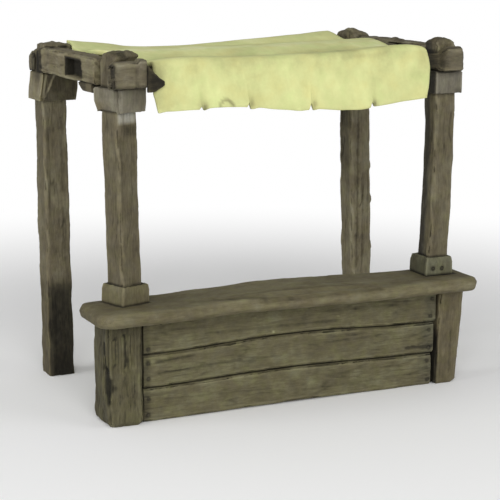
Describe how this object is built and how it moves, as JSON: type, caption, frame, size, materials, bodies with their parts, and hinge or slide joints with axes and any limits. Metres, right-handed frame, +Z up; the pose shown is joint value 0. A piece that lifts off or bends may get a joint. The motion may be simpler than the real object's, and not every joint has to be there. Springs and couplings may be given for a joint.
{
  "type": "miniature market stall",
  "caption": "Tabletop model of a timber market stall: plank-fronted counter with a bowed slab, four posts with capitals, a frame of hewn beams and a draped cloth awning",
  "frame": {"origin": "centre of the bounding box on the table plane, z = 0 under the feet", "axes": "+Z up; +X along the counter to the seller's left as seen by a customer in front; the counter front faces -Y, the open back faces +Y"},
  "size_m": [0.0676, 0.0404, 0.0576],
  "materials": {
    "wood": "painted grey-brown weathered timber with a dark wash in the grooves",
    "cloth": "painted pale cream-yellow cloth with faint darker folds"
  },
  "bodies": {
    "root": {"counter_top": "wood", "left_pier": "wood", "right_pier": "wood", "lower_front_plank": "wood", "middle_front_plank": "wood", "upper_front_plank": "wood", "front_left_post": "wood", "front_right_post": "wood", "back_left_post": "wood", "back_right_post": "wood", "front_left_collar": "wood", "front_right_collar": "wood", "front_left_capital": "wood", "front_right_capital": "wood", "back_left_capital": "wood", "back_right_capital": "wood", "front_beam": "wood", "middle_beam": "wood", "back_beam": "wood", "left_side_beam": "wood", "right_side_beam": "wood", "front_left_bracket": "wood", "front_right_bracket": "wood", "awning": "cloth", "awning_peg": "wood"}
  },
  "joints": []
}
